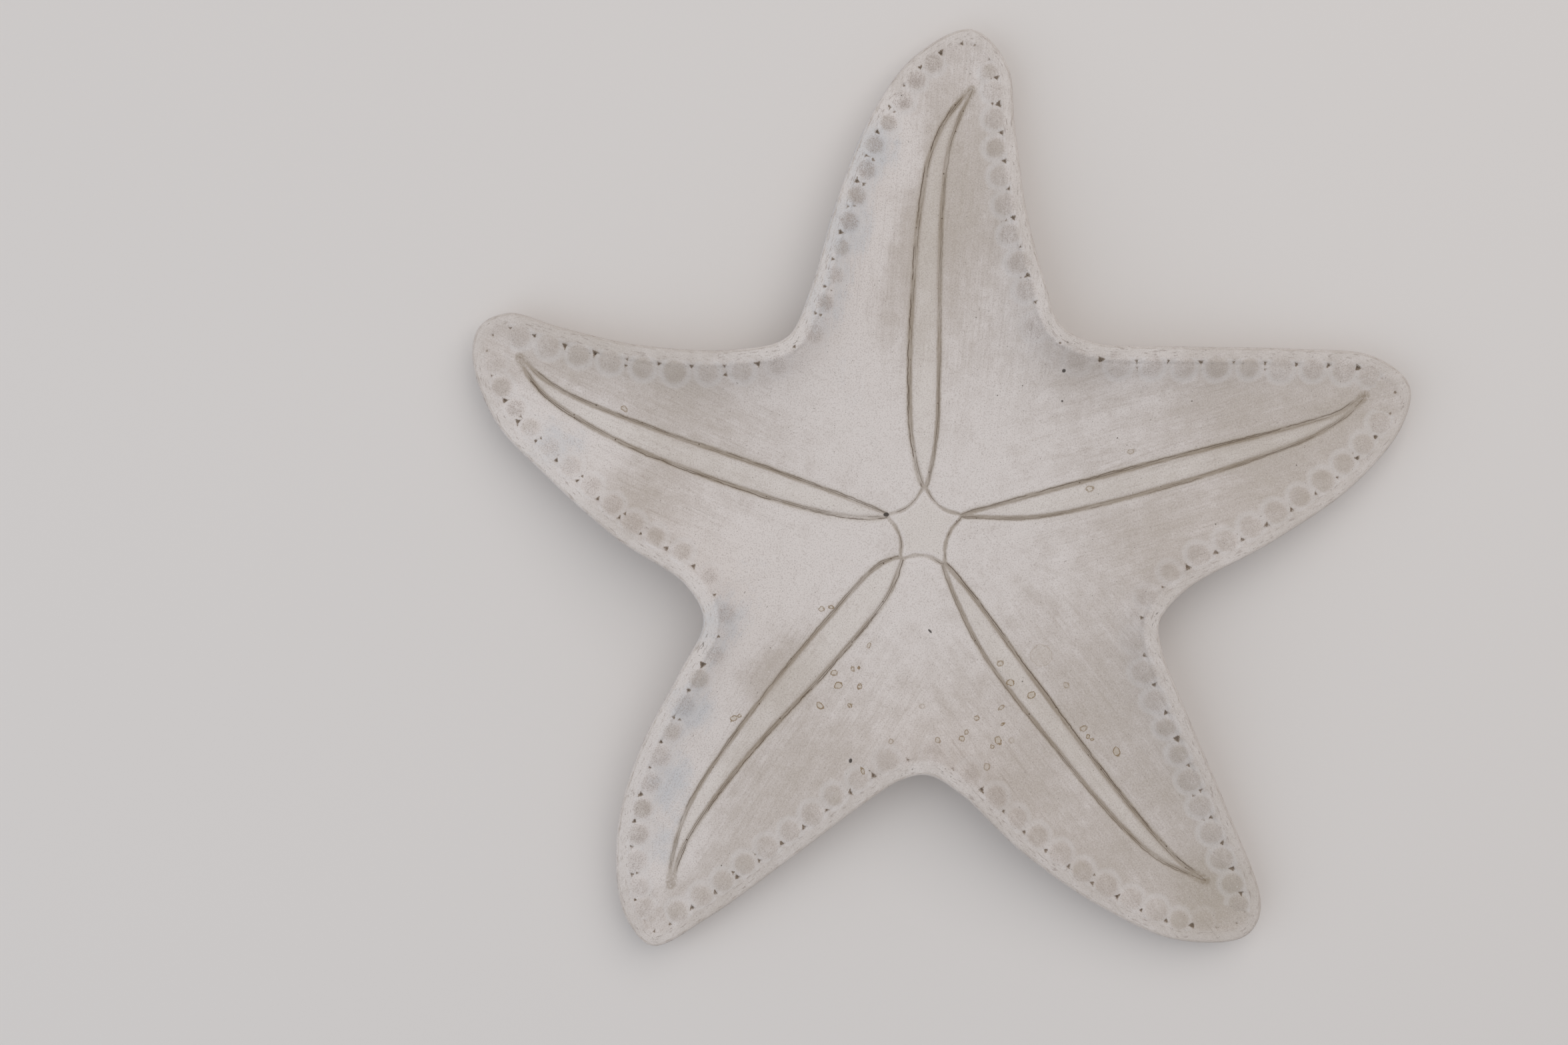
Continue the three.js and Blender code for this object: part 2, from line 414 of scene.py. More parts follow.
@dataclass
class Relief:
    """What stands on the bowl or is cut into it: beads, pits, incised petals and dried droplets."""

    outline: Outline
    bead_step: float = 2.2
    bead_share: float = 0.44
    bead_radius: tuple[float, float] = (3.6, 4.9)
    bead_variety: tuple[float, float] = (0.92, 1.06)
    bead_wander: float = 0.25
    bead_height: float = 0.55
    bead_at_notch: float = 0.55
    bead_rise: tuple[float, float] = (0.04, 0.2)
    bead_fade: tuple[float, float] = (0.84, 0.97)
    bead_spacing: float = 11.0
    wear_variety: tuple[float, float] = (0.55, 1.15)
    wear_fade: tuple[float, float] = (0.86, 0.96)
    valley_depth: float = 0.12
    valley_middle: float = 0.4
    valley_width: float = 0.9
    valley_start: tuple[float, float] = (4.6, 5.8)
    pit_depth: float = 0.7
    pit_size: tuple[float, float] = (0.45, 0.92)
    pit_turn: float = 0.35
    pit_variety: tuple[float, float] = (0.8, 1.25)
    pit_sides: tuple[float, float] = (0.876, 0.482)
    pit_reach: float = 0.95
    pit_base: float = 0.05
    pit_wall: tuple[float, float] = (0.2, -0.35)
    mark_size: tuple[float, float] = (0.18, 0.42)
    mark_odds: float = 0.4
    mark_wander: float = 0.6
    mark_step: tuple[float, float] = (2.0, 3.0)
    groove_depth: float = 0.3
    groove_width: float = 0.95
    groove_fade: float = 6.0
    pentagon_dirt: float = 0.35
    beads: np.ndarray = field(init=False)
    pits: np.ndarray = field(init=False)
    line_points: np.ndarray = field(init=False)
    line_tangents: np.ndarray = field(init=False)
    line_dirt: np.ndarray = field(init=False)
    line_tree: KDTree = field(init=False)
    droplets: Stains = field(init=False)
    grit: Stains = field(init=False)

    def __post_init__(self) -> None:
        """Places every bead, pit, line and droplet."""
        self._place_border(np.random.default_rng(SEED))
        lines = [Loop(list(arm.petal), LINE_STEP) for arm in ARMS]
        dirt = [self._dirt_of(line, arm) for line, arm in zip(lines, ARMS)]
        lines.append(self._pentagon([arm.petal[0] for arm in ARMS]))
        dirt.append(np.full(lines[-1].count, self.pentagon_dirt))
        self.line_points = np.vstack([line.points for line in lines])
        self.line_tangents = np.vstack([line.tangents for line in lines])
        self.line_dirt = np.concatenate(dirt)
        self.line_tree = tree_of(self.line_points)
        self.droplets = Stains(DROPLETS)
        self.grit = Stains(GRIT)

    @staticmethod
    def _dirt_of(line: Loop, arm: Arm, reach: float = 8.0) -> np.ndarray:
        """How stained a petal's line is at each of its samples, out along one side and back on the other."""
        turn = line.measure(np.array([arm.petal_tip]))[0][0]
        travelled = np.arange(line.count) * line.step
        share = ramp(travelled, turn - reach, turn + reach)
        return arm.dirt[0] * (1 - share) + arm.dirt[1] * share

    @staticmethod
    def _pentagon(corners: list[Point], sag: float = 0.17) -> Loop:
        """The small five-sided figure in the middle, whose sides curve inwards."""
        points: list[Point] = []
        for index, corner in enumerate(corners):
            following = corners[(index + 1) % len(corners)]
            points.append(corner)
            for share in (0.25, 0.5, 0.75):
                bow = 4 * share * (1 - share) * sag
                straight = np.array(corner) * (1 - share) + np.array(following) * share
                points.append(tuple(straight + (CENTRE - straight) * bow))
        return Loop(points, LINE_STEP)

    def _place_border(self, chance: np.random.Generator) -> None:
        """Sets the pits at their pitch along each side, and beads between them, past notches and tips."""
        marks, length = self.outline.marks, self.outline.length
        placed = []
        for number, arm in enumerate(ARMS):
            sides = ((arm.first_row, marks[2 * number], 1), (arm.second_row, marks[2 * number + 2], -1))
            for row, start, way in sides:
                placed += [((start + way * (row.first + row.pitch * count)) % length, row.inset, row.worn)
                           for count in range(row.count)]
        placed.sort()
        beads, pits = [], []
        for (start, inset, worn), (end, next_inset, next_worn) in zip(placed, placed[1:] + placed[:1]):
            gap = (end - start) % length
            count = max(1, round(gap / self.bead_spacing))
            for index in range(count):
                share = (index + 0.5) / count
                depth = inset * (1 - share) + next_inset * share + self.bead_step
                wear = worn * (1 - share) + next_worn * share
                beads.append((start + gap * share, depth, gap / count, wear))
            for index in range(1, count):
                pits.append((start + gap * index / count, inset, chance.uniform(*self.mark_size)))
            pits.append((start, inset, chance.uniform(*self.pit_size)))
            if chance.random() < self.mark_odds:
                pits.append((start + chance.normal(0.0, self.mark_wander),
                             inset + chance.uniform(*self.mark_step), chance.uniform(*self.mark_size)))
        self._shape_beads(np.array(beads), chance)
        self._shape_pits(np.array(pits), chance)

    def _shape_beads(self, beads: np.ndarray, chance: np.random.Generator) -> None:
        """Gives each bead its middle, radius, height and wear, fading the row out towards the tips."""
        travelled, depth, room, worn = beads.T
        toward_tip = self.outline.toward_tip(travelled)
        middles = self.outline.at(travelled, depth + chance.normal(0.0, self.bead_wander, len(beads)))
        radius = np.clip(room * self.bead_share, *self.bead_radius)
        radius *= chance.uniform(*self.bead_variety, len(beads))
        risen = self.bead_at_notch + (1 - self.bead_at_notch) * ramp(toward_tip, *self.bead_rise)
        height = risen * (1 - ramp(toward_tip, *self.bead_fade))
        wear = worn * chance.uniform(*self.wear_variety, len(beads)) * (1 - ramp(toward_tip, *self.wear_fade))
        self.beads = np.column_stack([middles, radius, height, wear])

    def _shape_pits(self, pits: np.ndarray, chance: np.random.Generator) -> None:
        """Gives each pit its place, turn and its size along and across the edge."""
        travelled, depth, size = pits.T
        place = self.outline.at(travelled, depth)
        ahead = self.outline.at(travelled + 0.5, depth) - place
        angle = np.arctan2(ahead[:, 1], ahead[:, 0]) + chance.normal(0.0, self.pit_turn, len(pits))
        wide = size * chance.uniform(*self.pit_variety, len(pits))
        self.pits = np.column_stack([place, angle, wide, size])

    def line_measure(self, points: np.ndarray) -> tuple[np.ndarray, np.ndarray]:
        """Measures points against the nearest incised line.

        Args:
            points: one row each.

        Returns:
            How far outside its petal or the pentagon each is, negative inside, and how stained the line is.
        """
        nearest = np.array([self.line_tree.find((x, y, 0.0))[1] for x, y in points])
        offset, tangent = points - self.line_points[nearest], self.line_tangents[nearest]
        side = np.where(tangent[:, 0] * offset[:, 1] > tangent[:, 1] * offset[:, 0], -1, 1)
        return side * np.hypot(*offset.T), self.line_dirt[nearest]

    def tip_distance(self, points: np.ndarray) -> np.ndarray:
        """How far each point is from the nearest petal's tip."""
        tips = np.array([arm.petal_tip for arm in ARMS])
        offset = points[:, None] - tips[None]
        return np.hypot(offset[..., 0], offset[..., 1]).min(1)

    def bead_measure(self, points: np.ndarray) -> tuple[np.ndarray, np.ndarray]:
        """Measures points against the nearest bead.

        Args:
            points: one row each.

        Returns:
            How far outside its edge each is, negative inside, and its index.
        """
        offset = points[:, None] - self.beads[None, :, :2]
        spans = np.hypot(offset[..., 0], offset[..., 1]) - self.beads[None, :, 2]
        nearest = spans.argmin(1)
        return spans[np.arange(len(points)), nearest], nearest

    def pit_distance(self, points: np.ndarray) -> np.ndarray:
        """How far outside the nearest three-cornered pit each point is, negative inside."""
        offset = points[:, None] - self.pits[None, :, :2]
        cosine, sine = np.cos(self.pits[:, 2]), np.sin(self.pits[:, 2])
        along = np.abs(offset[..., 0] * cosine + offset[..., 1] * sine) / self.pits[:, 3]
        inward = (offset[..., 1] * cosine - offset[..., 0] * sine) / self.pits[:, 4]
        sides = self.pit_sides[0] * along + self.pit_sides[1] * inward - self.pit_reach
        return (np.maximum(sides, -inward - self.pit_base) * self.pits[:, 4]).min(1)

    def height(self, points: np.ndarray, inside: np.ndarray) -> np.ndarray:
        """How far the relief stands above the bowl at points that far inside the edge."""
        away, nearest = self.bead_measure(points)
        share = 1 + away / self.beads[nearest, 2]
        dome = self.bead_height * np.maximum(0.0, 1 - share**2)**1.5
        valley = self.valley_depth * bell(away - self.valley_middle, self.valley_width)
        height = self.beads[nearest, 3] * (dome - valley * ramp(inside, *self.valley_start))
        groove = bell(self.line_measure(points)[0], self.groove_width)
        height -= self.groove_depth * groove * ramp(self.tip_distance(points), 0.0, self.groove_fade)
        return height - self.pit_depth * ramp(self.pit_distance(points), *self.pit_wall)


@dataclass
class Bowl:
    """The hollow's surface, which hangs from the lip as a sheet pulled down to the floor would."""

    outline: Outline
    station_step: float = 1.2
    block: int = 4000
    stations: np.ndarray = field(init=False)
    lifts: np.ndarray = field(init=False)
    share: float = field(init=False)

    def __post_init__(self) -> None:
        """Places the stations along the lip that lift the surface."""
        form = self.outline.form
        count = int(self.outline.length / self.station_step)
        travelled = (np.arange(count) + 0.5) * self.outline.length / count
        self.stations = self.outline.at(travelled, form.lip_inset)
        self.lifts = self.outline.rim(travelled) - form.lip_drop - form.floor
        self.share = self.outline.length / count

    def height(self, points: np.ndarray) -> np.ndarray:
        """The surface's height at points, one row each."""
        form = self.outline.form
        heights = []
        for start in range(0, len(points), self.block):
            part = points[start:start + self.block]
            spans = (part[:, None, 0] - self.stations[None, :, 0])**2
            spans += (part[:, None, 1] - self.stations[None, :, 1])**2
            weights = self.share / (spans + 1.0)
            heights.append(form.floor + weights @ self.lifts / (weights.sum(1) + math.pi / form.reach))
        return np.concatenate(heights)


@dataclass(frozen=True)
class WashAndSheenSpot:
    """A soft patch of the thin brown wash, or where amount is negative, of cleaner cooler white with a painted
    sheen.
    """

    x: float
    y: float
    spread: float
    amount: float


# Spots with a negative amount paint a cool sheen over cleaner white; the others are the brown wash.
WASH_AND_SHEEN_SPOTS = (
    # Upper arm: cleaner white with a painted cool sheen along its left flank, tan up its middle and its right
    # flank.
    WashAndSheenSpot(-23, 124, 15, -1.3), WashAndSheenSpot(-33, 96, 16, -1.2), WashAndSheenSpot(-42, 66, 20, -1.0),
    WashAndSheenSpot(-6, 94, 20, 0.55), WashAndSheenSpot(5, 124, 20, 0.5), WashAndSheenSpot(14, 92, 22, 0.2),
    WashAndSheenSpot(14, 152, 14, -0.1), WashAndSheenSpot(-18, 62, 20, 0.45), WashAndSheenSpot(-30, 36, 18, -0.4),
    # Left arm: mauve along its upper flank and at its tip, paler below with a painted cool sheen.
    WashAndSheenSpot(-132, 46, 20, 0.6), WashAndSheenSpot(-96, 36, 20, 0.45), WashAndSheenSpot(-138, 18, 20, -1.0),
    WashAndSheenSpot(-112, -4, 16, 0.5), WashAndSheenSpot(-70, -28, 22, -0.4), WashAndSheenSpot(-80, 12, 16, 0.15),
    # Lower left arm: cleaner white with a painted cool sheen beside the beads on its left, a mauve patch by its
    # line, tan towards its right.
    WashAndSheenSpot(-80, -52, 16, -1.0), WashAndSheenSpot(-90, -80, 13, -1.1), WashAndSheenSpot(-97, -108, 13, -1.2),
    WashAndSheenSpot(-102, -132, 12, -1.0), WashAndSheenSpot(-62, -66, 16, 0.6), WashAndSheenSpot(-70, -112, 22, 0.3),
    WashAndSheenSpot(-78, -146, 18, 0.4), WashAndSheenSpot(-40, -104, 22, 0.35),
    # Lower right arm: the most stained, most of all at its tip.
    WashAndSheenSpot(100, -148, 20, 0.95), WashAndSheenSpot(58, -76, 22, 0.5), WashAndSheenSpot(30, -110, 20, 0.45),
    WashAndSheenSpot(60, -136, 16, 0.45), WashAndSheenSpot(84, -108, 20, 0.5),
    # Right arm: tan along both flanks.
    WashAndSheenSpot(148, 26, 22, 0.5), WashAndSheenSpot(104, 34, 20, 0.45), WashAndSheenSpot(80, -20, 26, 0.4),
    WashAndSheenSpot(122, 2, 20, 0.5), WashAndSheenSpot(50, 44, 14, 0.25), WashAndSheenSpot(30, -40, 24, 0.2), WashAndSheenSpot(4, -78, 22, 0.2),
)


@dataclass(frozen=True)
class Fineness:
    """How short edges are near some relief: the shortest, how far that holds, and the growth beyond."""

    shortest: float
    margin: float
    growth: float

    def allowed(self, away: np.ndarray) -> np.ndarray:
        """The longest edge allowed at each distance."""
        return self.shortest + self.growth * np.maximum(0.0, away - self.margin)


LONGEST_EDGE = 3.4
BORDER_WIDTH = 11.0
NEAR_EDGE = Fineness(1.5, 15.0, 0.6)
NEAR_LINE = Fineness(0.85, 1.4, 0.6)
NEAR_PIT = Fineness(0.5, 0.2, 0.7)
NEAR_DROPLET = Fineness(0.5, 0.4, 0.6)

# The rim's section from the hollow outwards, as rows of inset and drop. The row of the edge has no inset.
RIM_SECTION = ((3.5, 0.0), (2.5, 0.0), (1.7, 0.02), (1.25, 0.12), (0.95, 0.16), (0.65, 0.22),
               (0.38, 0.48), (0.14, 0.95), (0.0, 1.7), (0.12, 2.5), (0.48, 3.25))
EDGE_ROW = 8
WALL_ROWS = 8
FOOT_ROUNDING = 0.3


@dataclass
class Casting:
    """The whole dish as one closed mesh, with the measures that its finish is painted by."""

    outline: Outline
    bowl: Bowl
    relief: Relief
    patch_steps: int = 50
    patch_inset: float = 4.4
    crowding: float = 0.35
    passes: int = 5
    evening: int = 4
    lip_lift: float = 0.6
    lip_reach: float = 15.0
    arm_wash: float = 0.3
    arm_wash_reach: tuple[float, float] = (18.0, 70.0)
    wall_wash: float = 0.35
    lane_spacing: float = 40.0
    far: float = 9.0

    def build(self) -> bpy.types.Object:
        """Makes the mesh.

        Returns:
            The piece, at the origin, in metres.
        """
        bm = bmesh.new()
        self.edge_layer = bm.verts.layers.float.new("edge_mm")
        self._stretch_patches(bm)
        self._refine(bm)
        self._settle(bm)
        self._lift(bm)
        self._turn_rim(bm)
        bmesh.ops.recalc_face_normals(bm, faces=bm.faces)
        for face in bm.faces:
            face.smooth = True
        mesh = bpy.data.meshes.new("whitewashed_dish")
        bm.to_mesh(mesh)
        bm.free()
        self._measure_finish(mesh)
        mesh.transform(self.outline.placement())
        piece = bpy.data.objects.new("whitewashed_dish", mesh)
        bpy.context.scene.collection.objects.link(piece)
        return piece

    def _stretch_patches(self, bm: bmesh.types.BMesh) -> None:
        """Stretches a square grid over each arm's share of the hollow and joins the five."""
        marks, steps = self.outline.marks, self.patch_steps
        for number in range(len(ARMS)):
            first, tip, second = marks[2 * number:2 * number + 3]
            grid = bmesh.ops.create_grid(bm, x_segments=steps, y_segments=steps, size=0.5)["verts"]
            share = np.array([(vert.co.x + 0.5, vert.co.y + 0.5) for vert in grid])
            crowded = share - self.crowding * np.sin(2 * np.pi * share) / (2 * np.pi)
            u, v = share[:, :1], share[:, 1:]
            right = self.outline.at(first + (tip - first) * crowded[:, 1], self.patch_inset)
            high = self.outline.at(second + (tip - second) * crowded[:, 0], self.patch_inset)
            ends = self.outline.at(np.array((first, tip, second)), self.patch_inset)
            first_notch, tip_point, second_notch = ends
            low = CENTRE * (1 - u) + first_notch * u
            left = CENTRE * (1 - v) + second_notch * v
            corners = (CENTRE * (1 - u) * (1 - v) + first_notch * u * (1 - v)
                       + second_notch * (1 - u) * v + tip_point * u * v)
            place = low * (1 - v) + high * v + left * (1 - u) + right * u - corners
            for vert, (x, y) in zip(grid, place):
                vert.co = (x, y, 0.0)
        bmesh.ops.remove_doubles(bm, verts=bm.verts, dist=0.02)
        bmesh.ops.triangulate(bm, faces=bm.faces, quad_method="BEAUTY")

    def _wanted_length(self, points: np.ndarray) -> np.ndarray:
        """The longest edge that the relief near each point allows."""
        inside = self.outline.measure(points)[1]
        wanted = np.minimum(LONGEST_EDGE, NEAR_EDGE.allowed(inside))
        wanted = np.minimum(wanted, NEAR_LINE.allowed(np.abs(self.relief.line_measure(points)[0])))
        near = inside < BORDER_WIDTH
        wanted[near] = np.minimum(wanted[near], NEAR_PIT.allowed(self.relief.pit_distance(points[near])))
        for marks in (self.relief.droplets, self.relief.grit):
            wanted = np.minimum(wanted, NEAR_DROPLET.allowed(np.abs(marks.measure(points)[0])))
        return wanted

    def _refine(self, bm: bmesh.types.BMesh) -> None:
        """Halves the edges that are too long for the relief near them, over a few passes."""
        for _ in range(self.passes):
            ends = np.array([(*edge.verts[0].co.xy, *edge.verts[1].co.xy) for edge in bm.edges])
            middle = (ends[:, :2] + ends[:, 2:]) / 2
            length = np.hypot(*(ends[:, :2] - ends[:, 2:]).T)
            long = np.flatnonzero(length > self._wanted_length(middle))
            if not long.size:
                break
            bm.edges.ensure_lookup_table()
            bmesh.ops.subdivide_edges(bm, edges=[bm.edges[index] for index in long], cuts=1)
            wide = [face for face in bm.faces if len(face.verts) > 3]
            bmesh.ops.triangulate(bm, faces=wide, quad_method="BEAUTY", ngon_method="BEAUTY")
            LOG.info("refined to %d faces", len(bm.faces))

    def _settle(self, bm: bmesh.types.BMesh) -> None:
        """Brings the outer edge back onto its curve and evens out the triangles inside it."""
        rim = [vert for vert in bm.verts if vert.is_boundary]
        travelled = self.outline.measure(np.array([vert.co.xy for vert in rim]))[0]
        for vert, place in zip(rim, self.outline.at(travelled, self.patch_inset)):
            vert.co.xy = place
        inner = [vert for vert in bm.verts if not vert.is_boundary]
        for _ in range(self.evening):
            bmesh.ops.smooth_vert(bm, verts=inner, factor=0.5, use_axis_x=True, use_axis_y=True)

    def _lift(self, bm: bmesh.types.BMesh) -> None:
        """Gives every vertex of the hollow its height: the bowl, then the relief on it."""
        points = np.array([vert.co.xy for vert in bm.verts])
        travelled, inside = self.outline.measure(points)
        form = self.outline.form
        rim = self.outline.rim(travelled)
        share = (inside - self.patch_inset) / (form.lip_inset - self.patch_inset)
        shoulder = rim - (form.lip_drop - self.lip_lift) * eased(share)
        bowl = self.bowl.height(points) + self.lip_lift * ramp(inside, self.lip_reach, form.lip_inset)
        height = np.where(inside < form.lip_inset, shoulder, bowl) + self.relief.height(points, inside)
        height = np.minimum(height, rim)
        for vert, z, edge in zip(bm.verts, height, inside):
            vert.co.z = z
            vert[self.edge_layer] = edge

    def _section(self, travelled: np.ndarray) -> list[tuple[np.ndarray, np.ndarray]]:
        """The rim and wall's section at each place round the outline, as rows of inset and height."""
        form = self.outline.form
        rim, foot = self.outline.rim(travelled), self.outline.foot_inset(travelled)
        rows = [(np.full_like(rim, inset), rim - drop) for inset, drop in RIM_SECTION]
        wall_top = rim - form.lip_thickness
        for share in np.linspace(1.0, 0.0, WALL_ROWS):
            inset = foot + (form.rim_rounding - foot) * share**(1 - form.wall_bulge)
            rows.append((inset, form.foot_edge + (wall_top - form.foot_edge) * share))
        low = FOOT_ROUNDING * form.foot_edge
        rows.append((foot + low, np.full_like(rim, low)))
        rows.append((foot + form.foot_edge, np.zeros_like(rim)))
        return rows

    def _turn_rim(self, bm: bmesh.types.BMesh) -> None:
        """Extrudes the patches' edge over the rim and down the wall row by row, then closes the foot."""
        edges = [edge for edge in bm.edges if edge.is_boundary]
        verts = list({vert for edge in edges for vert in edge.verts})
        travelled = self.outline.measure(np.array([vert.co.xy for vert in verts]))[0]
        place_of = dict(zip(verts, travelled))
        for row in range(len(self._section(travelled[:1]))):
            made = bmesh.ops.extrude_edge_only(bm, edges=edges)["geom"]
            verts = [item for item in made if isinstance(item, bmesh.types.BMVert)]
            old = {vert: self._below(vert, place_of) for vert in verts}
            travelled = np.array([place_of[old[vert]] for vert in verts])
            place_of = dict(zip(verts, travelled))
            inset, height = self._section(travelled)[row]
            over_edge = row > EDGE_ROW
            for vert, (x, y), z, depth in zip(verts, self.outline.at(travelled, inset), height, inset):
                step = (vert.co - Vector((x, y, z))).length
                before = min(old[vert][self.edge_layer], 0.0)
                vert[self.edge_layer] = before - step if over_edge else depth
                vert.co = (x, y, z)
            fresh = set(verts)
            edges = [item for item in made if isinstance(item, bmesh.types.BMEdge)
                     and item.verts[0] in fresh and item.verts[1] in fresh]
        bmesh.ops.triangle_fill(bm, edges=edges, use_beauty=True)

    @staticmethod
    def _below(vert: bmesh.types.BMVert, known: dict[bmesh.types.BMVert, float]) -> bmesh.types.BMVert:
        """The vertex of the row before that an extruded vertex came from."""
        return next(edge.other_vert(vert) for edge in vert.link_edges if edge.other_vert(vert) in known)

    def _measure_finish(self, mesh: bpy.types.Mesh) -> None:
        """Stores on each vertex the measures that the whitewash is painted by."""
        flat = np.empty(len(mesh.vertices) * 3)
        mesh.vertices.foreach_get("co", flat)
        points = flat.reshape(-1, 3)[:, :2]
        edge = np.empty(len(points))
        mesh.attributes["edge_mm"].data.foreach_get("value", edge)
        relief = self.relief
        bead_away, bead = relief.bead_measure(points)
        line, dirt = relief.line_measure(points)
        drop, drop_stain = relief.droplets.measure(points)
        tint = np.random.default_rng(SEED).uniform(0, 1, len(relief.beads))[bead]
        travelled = self.outline.measure(points)[0]
        turn = 2 * np.pi * travelled / self.outline.length
        ring = self.outline.length / (2 * np.pi)
        along, across, lane = self._arm_place(points)
        wash = self.arm_wash * ramp(along, *self.arm_wash_reach)
        # Positive spots add wash; negative spots paint a cool sheen over cleaner white.
        for spot in WASH_AND_SHEEN_SPOTS:
            wash += spot.amount * bell(np.hypot(points[:, 0] - spot.x, points[:, 1] - spot.y), spot.spread)
        on_top = edge >= 0
        floats = {
            "line_mm": np.where(on_top, line, self.far),
            "line_dirt": dirt * ramp(relief.tip_distance(points), 0.0, 9.0),
            "petal_tip_mm": np.where(on_top, relief.tip_distance(points), self.far),
            "bead_mm": np.where(on_top, bead_away, self.far),
            "bead_height": relief.beads[bead, 3],
            "bead_wear": relief.beads[bead, 4],
            "bead_tint": tint,
            "pit_mm": np.where(on_top, relief.pit_distance(points), self.far),
            "drop_mm": np.where(on_top, drop, self.far),
            "drop_stain": drop_stain,
            "grit_mm": np.where(on_top, relief.grit.measure(points)[0], self.far),
            "wash": np.where(on_top, wash, self.wall_wash),
            "notch": ramp(self.outline.toward_tip(travelled), 0.16, 0.02),
            "tip": ramp(self.outline.toward_tip(travelled), 0.55, 0.95),
            "reach_mm": along,
        }
        vectors = {
            "rim_place": np.column_stack([ring * np.cos(turn), ring * np.sin(turn), edge]),
            "arm_place": np.column_stack([along, across, lane]),
        }
        for name, values in floats.items():
            layer = mesh.attributes.new(name, "FLOAT", "POINT")
            layer.data.foreach_set("value", values)
        for name, values in vectors.items():
            layer = mesh.attributes.new(name, "FLOAT_VECTOR", "POINT")
            layer.data.foreach_set("vector", values.ravel())

    def _arm_place(self, points: np.ndarray) -> tuple[np.ndarray, np.ndarray, np.ndarray]:
        """Where points lie along and across the arm they are on, and a lane that tells the arms apart."""
        tips = np.array([arm.tip for arm in ARMS]) - CENTRE
        tips /= np.hypot(*tips.T)[:, None]
        offset = points - CENTRE
        lane = (offset @ tips.T).argmax(1)
        axis = tips[lane]
        along = np.einsum("ij,ij->i", offset, axis)
        across = axis[:, 0] * offset[:, 1] - axis[:, 1] * offset[:, 0]
        return along, across, lane * self.lane_spacing


class Tone(Enum):
    """The casting's and the table's colours, as sRGB hex values."""

    CLEAN_WHITE = "#e3dbd7"
    # Partly clean paint and partly a painted cool sheen.
    COOL_WHITE_AND_SHEEN = "#d1d0d2"
    MAUVE_WASH = "#cfc5bf"
    TAN_WASH = "#b6ab9e"
    CREAM = "#dcd4cb"
    RIM = "#ddd6d1"
    # A darker line on the rim's lip, and the painted shade on its outer edge and the wall under it.
    LIP_LINE_AND_EDGE_SHADE = "#bfb4ab"
    POOLED = "#e2dedd"
    WORN = "#ab9f98"
    BAND = "#87755c"
    STROKE = "#574636"
    PIT = "#84725f"
    PIT_DEPTH = "#3b342e"
    SPECK = "#6d645b"
    FLECK = "#a0928a"
    SCRATCH = "#8a8078"
    DROPLET = "#84693f"
    DROPLET_FILL = "#b9a98e"
    BISQUE = "#cbbfb2"
    TABLE = "#e4dfdc"


def linear(tone: Tone) -> tuple[float, float, float, float]:
    """A tone's sRGB hex value as a linear colour."""
    shares = [int(tone.value[start:start + 2], 16) / 255 for start in (1, 3, 5)]
    curved = [share / 12.92 if share <= 0.04045 else ((share + 0.055) / 1.055)**2.4 for share in shares]
    return (*curved, 1.0)


class NodeTree:
    """A material's node tree, grown by one call for each node."""

    def __init__(self, name: str) -> None:
        """Makes an empty material of that name."""
        self.material = bpy.data.materials.new(name)
        self.material.use_nodes = True
        self.tree = self.material.node_tree
        self.tree.nodes.clear()

    def add(self, kind: str, settings: dict[str, object] | None = None,
            inputs: dict[int | str, object] | None = None, output: int | str = 0) -> bpy.types.NodeSocket:
        """Adds a node.

        Args:
            kind: the node's type.
            settings: its properties.
            inputs: a value, or a socket to link, for each input.
            output: the output wanted.

        Returns:
            The output socket, or the node's first input if it has no outputs.
        """
        node = self.tree.nodes.new(kind)
        for name, value in (settings or {}).items():
            setattr(node, name, value)
        for name, value in (inputs or {}).items():
            if isinstance(value, bpy.types.NodeSocket):
                self.tree.links.new(value, node.inputs[name])
            else:
                node.inputs[name].default_value = value
        return node.outputs[output] if len(node.outputs) else node.inputs[0]


@dataclass(frozen=True)
class Pattern:
    """A cloudy pattern.

    Attributes:
        place: the measure it is laid out on.
        cell: how large its lumps are along that measure's three axes, in millimetres.
        detail: how many finer layers it has.
    """

    place: str
    cell: tuple[float, float, float]
    detail: float = 2.0


@dataclass(frozen=True)
class Scatter:
    """Points scattered over the surface, one to each cell, whose size is in millimetres."""

    place: str
    cell: tuple[float, float, float]


@dataclass(frozen=True)
class Blend:
    """A sum of measures, each by its weight, which may lose its sign."""

    parts: tuple[tuple[str, float], ...]
    offset: float = 0.0
    unsigned: bool = False


@dataclass(frozen=True)
class Limit:
    """One limit of a coat: none of it where the measure is start, and its share of it where that is end."""

    measure: str
    start: float
    end: float
    share: float = 1.0


@dataclass(frozen=True)
class Coat:
    """A coat of wash, wear or dirt: its tone, and the limits that its cover is the product of."""

    tone: Tone
    limits: tuple[Limit, ...]


ATTRIBUTES = ("line_mm", "line_dirt", "petal_tip_mm", "bead_mm", "bead_height", "bead_wear", "bead_tint",
              "pit_mm", "drop_mm", "drop_stain", "grit_mm", "wash", "notch", "tip", "reach_mm", "edge_mm")

